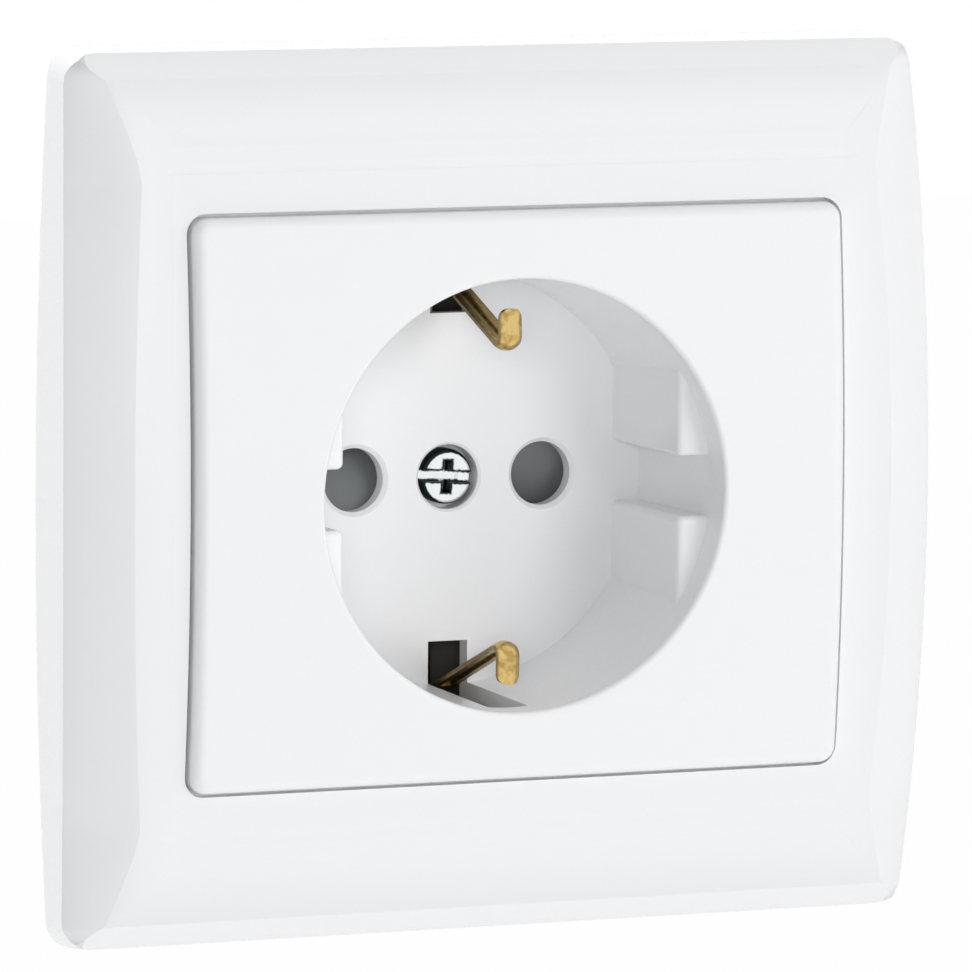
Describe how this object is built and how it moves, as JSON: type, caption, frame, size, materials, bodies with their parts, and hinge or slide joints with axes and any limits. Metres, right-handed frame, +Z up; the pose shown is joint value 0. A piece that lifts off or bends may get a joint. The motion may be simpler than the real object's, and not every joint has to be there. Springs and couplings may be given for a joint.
{
  "type": "type f wall socket",
  "caption": "White earthed wall socket for a flush wall box: bowed cover frame, domed centre plate with a round plug well, brass earth clips, pin shutter and spreader claws.",
  "frame": {"origin": "middle of the socket in the wall's surface", "axes": "+Z up, +X to the right seen from the front, the front faces -Y and +Y points into the wall box"},
  "size_m": [0.0868, 0.044, 0.0828],
  "materials": {
    "white_plastic": "gloss",
    "base_plastic": "matt",
    "shutter_plastic": "matt",
    "brass": "bright rolled",
    "zinc_steel": "zinc plated",
    "spring_steel": "drawn"
  },
  "bodies": {
    "socket": {"cover_frame": "white_plastic", "centre_plate": "white_plastic", "centre_screw": "zinc_steel", "shutter_spring": "spring_steel", "shutter_cage": "shutter_plastic", "earth_bracket": "brass", "line_contact": "brass", "neutral_contact": "brass", "line_clamp": "zinc_steel", "neutral_clamp": "zinc_steel", "earth_clamp": "zinc_steel", "line_screw": "zinc_steel", "neutral_screw": "zinc_steel", "earth_screw": "zinc_steel", "centre_nut": "brass", "base_body": "base_plastic", "support_plate": "zinc_steel", "plate_rivets": "brass"},
    "shutter": {"shutter": "shutter_plastic"},
    "left_claw": {"claw_left": "zinc_steel", "claw_screw_left": "zinc_steel"},
    "right_claw": {"claw_right": "zinc_steel", "claw_screw_right": "zinc_steel"}
  },
  "joints": [
    {"name": "shutter_turn", "type": "hinge", "parent": "socket", "child": "shutter", "pos_m": [0, 0.0092, 0], "axis": [0, -1, 0], "range_deg": [0, 46], "stiffness_Nm_per_rad": 0.002, "springref_deg": -17.19, "deforming": ["shutter_spring"]},
    {"name": "left_claw_spread", "type": "hinge", "parent": "socket", "child": "left_claw", "pos_m": [-0.0242, 0.005, 0], "axis": [0, 0, 1], "range_deg": [0, 12]},
    {"name": "right_claw_spread", "type": "hinge", "parent": "socket", "child": "right_claw", "pos_m": [0.0242, 0.005, 0], "axis": [0, 0, -1], "range_deg": [0, 12]}
  ]
}
